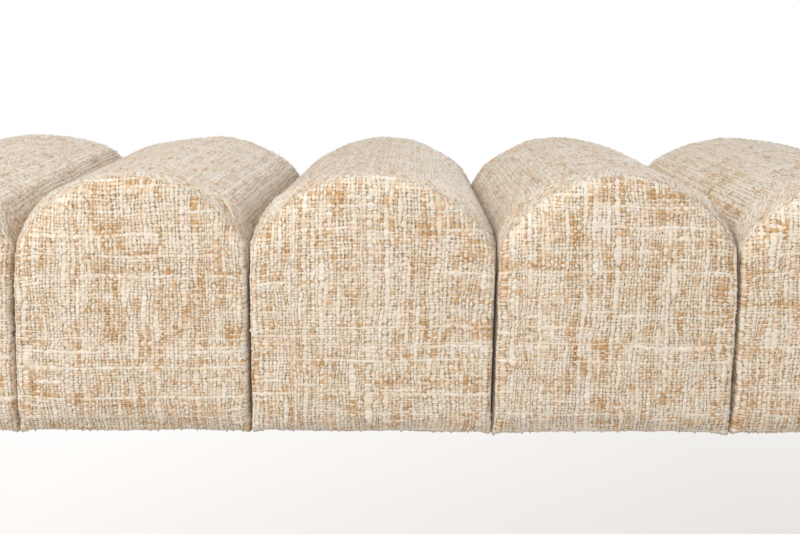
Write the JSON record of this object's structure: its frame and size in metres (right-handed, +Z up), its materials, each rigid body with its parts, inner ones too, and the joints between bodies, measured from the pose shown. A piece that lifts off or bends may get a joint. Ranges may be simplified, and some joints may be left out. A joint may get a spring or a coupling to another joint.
{
  "type": "upholstered bench",
  "caption": "Backless upholstered bench: a row of arched tweed cushion modules, each with a sewn front panel, on a timber base frame with turned legs.",
  "frame": {"origin": "on the floor, under the middle of the bench", "axes": "+X along the row of modules, to the right seen from the front; +Y towards the back; +Z up"},
  "size_m": [1.5396, 0.45, 0.4499],
  "materials": {
    "cover_fabric": "chunky slub tweed",
    "wadding": "fibre",
    "soft_foam": "open-cell foam",
    "plywood": "raw",
    "dust_cloth": "non-woven",
    "frame_timber": "black stain",
    "leg_timber": "satin oil",
    "plated_steel": "zinc plated",
    "glide_plastic": "matt"
  },
  "bodies": {
    "root": {"top_band_1": "cover_fabric", "front_panel_1": "cover_fabric", "back_panel_1": "cover_fabric", "wadding_wrap_1": "wadding", "foam_block_1": "soft_foam", "base_board_1": "plywood", "top_band_2": "cover_fabric", "front_panel_2": "cover_fabric", "back_panel_2": "cover_fabric", "wadding_wrap_2": "wadding", "foam_block_2": "soft_foam", "base_board_2": "plywood", "top_band_3": "cover_fabric", "front_panel_3": "cover_fabric", "back_panel_3": "cover_fabric", "wadding_wrap_3": "wadding", "foam_block_3": "soft_foam", "base_board_3": "plywood", "top_band_4": "cover_fabric", "front_panel_4": "cover_fabric", "back_panel_4": "cover_fabric", "wadding_wrap_4": "wadding", "foam_block_4": "soft_foam", "base_board_4": "plywood", "top_band_5": "cover_fabric", "front_panel_5": "cover_fabric", "back_panel_5": "cover_fabric", "wadding_wrap_5": "wadding", "foam_block_5": "soft_foam", "base_board_5": "plywood", "top_band_6": "cover_fabric", "front_panel_6": "cover_fabric", "back_panel_6": "cover_fabric", "wadding_wrap_6": "wadding", "foam_block_6": "soft_foam", "base_board_6": "plywood", "top_band_7": "cover_fabric", "front_panel_7": "cover_fabric", "back_panel_7": "cover_fabric", "wadding_wrap_7": "wadding", "foam_block_7": "soft_foam", "base_board_7": "plywood", "dust_cloths": "dust_cloth", "front_rail": "frame_timber", "back_rail": "frame_timber", "left_end_rail": "frame_timber", "right_end_rail": "frame_timber", "left_cross_rail": "frame_timber", "right_cross_rail": "frame_timber", "leg_front_left": "leg_timber", "leg_front_right": "leg_timber", "leg_back_left": "leg_timber", "leg_back_right": "leg_timber", "glides": "glide_plastic", "leg_plates": "plated_steel", "wood_screws": "plated_steel", "module_bolts": "plated_steel", "tee_nuts": "plated_steel", "hanger_bolts": "plated_steel"}
  },
  "joints": []
}
